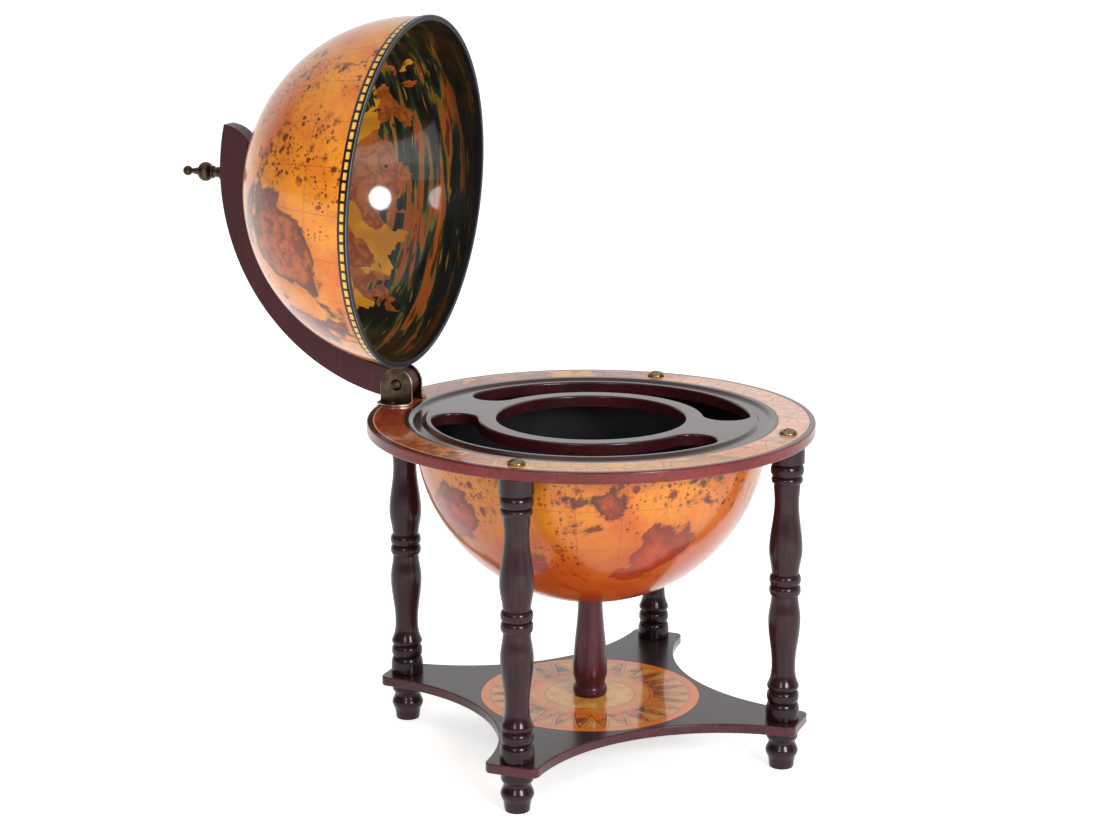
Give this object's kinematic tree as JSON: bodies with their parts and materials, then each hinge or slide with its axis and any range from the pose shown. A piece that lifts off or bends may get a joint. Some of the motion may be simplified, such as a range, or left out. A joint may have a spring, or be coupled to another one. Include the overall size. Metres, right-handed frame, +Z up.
{
  "type": "floor globe bar",
  "caption": "Floor-standing globe drinks cabinet: hinged half-globe lid on a curved arm over a ring table with tray holes, bowl, turned legs and low shelf.",
  "frame": {"origin": "middle of the open part's floor plan, on the floor", "axes": "+Z up, +X from the open lid towards the opposite leg, +Y from the front leg to the back leg"},
  "size_m": [0.648, 0.43, 0.7067],
  "materials": {
    "turned_wood": "glossy mahogany lacquer",
    "arm_wood": "glossy mahogany lacquer",
    "dark_board": "satin dark mahogany lacquer",
    "printed_paper": "lacquered antique-map paper over a moulded shell or board",
    "black_lacquer": "black lacquer",
    "antique_brass": "antiqued brass",
    "zinc_steel": "zinc plated"
  },
  "bodies": {
    "stand": {"leg_front": "turned_wood", "leg_right": "turned_wood", "leg_back": "turned_wood", "leg_left": "turned_wood", "foot_front": "turned_wood", "foot_right": "turned_wood", "foot_back": "turned_wood", "foot_left": "turned_wood", "leg_stud_front": "zinc_steel", "leg_stud_right": "zinc_steel", "leg_stud_back": "zinc_steel", "leg_stud_left": "zinc_steel", "leg_screw_front": "antique_brass", "leg_screw_right": "antique_brass", "leg_screw_back": "antique_brass", "leg_screw_left": "antique_brass", "pillar": "turned_wood", "pillar_screw": "zinc_steel", "shelf": "dark_board", "medallion": "printed_paper", "table_board": "dark_board", "map_band": "printed_paper", "bowl": "printed_paper", "bowl_floor": "black_lacquer", "bowl_bolt": "zinc_steel", "hinge_ear_front": "antique_brass", "ear_screw_front": "antique_brass", "hinge_ear_rear": "antique_brass", "ear_screw_rear": "antique_brass", "hinge_bolt": "antique_brass", "hinge_nut": "antique_brass"},
    "arm": {"arm": "arm_wood", "finial": "antique_brass", "pole_rod": "zinc_steel", "pole_spacer": "black_lacquer", "pole_nut": "zinc_steel"},
    "seat": {"pole_washer": "black_lacquer"},
    "lid": {"lid_shell": "printed_paper", "lid_rim": "black_lacquer"}
  },
  "joints": [
    {"name": "arm_hinge", "type": "hinge", "parent": "stand", "child": "arm", "pos_m": [-0.08954, 0, 0.347], "axis": [0, 1, 0], "range_deg": [0, 90]},
    {"name": "lid_tilt", "type": "hinge", "parent": "arm", "child": "seat", "pos_m": [-0.23844, 0, 0.5455], "axis": [0, 0.9728, 0.2317], "range_deg": [-3.33, 0]},
    {"name": "lid_spin", "type": "hinge", "parent": "seat", "child": "lid", "pos_m": [-0.23844, 0, 0.5455], "axis": [-0.9983, -0.0135, 0.0565], "continuous": true}
  ],
  "couplings": [
    {"joint": "lid_tilt", "follows": "arm_hinge", "ratio": -0.037}
  ]
}
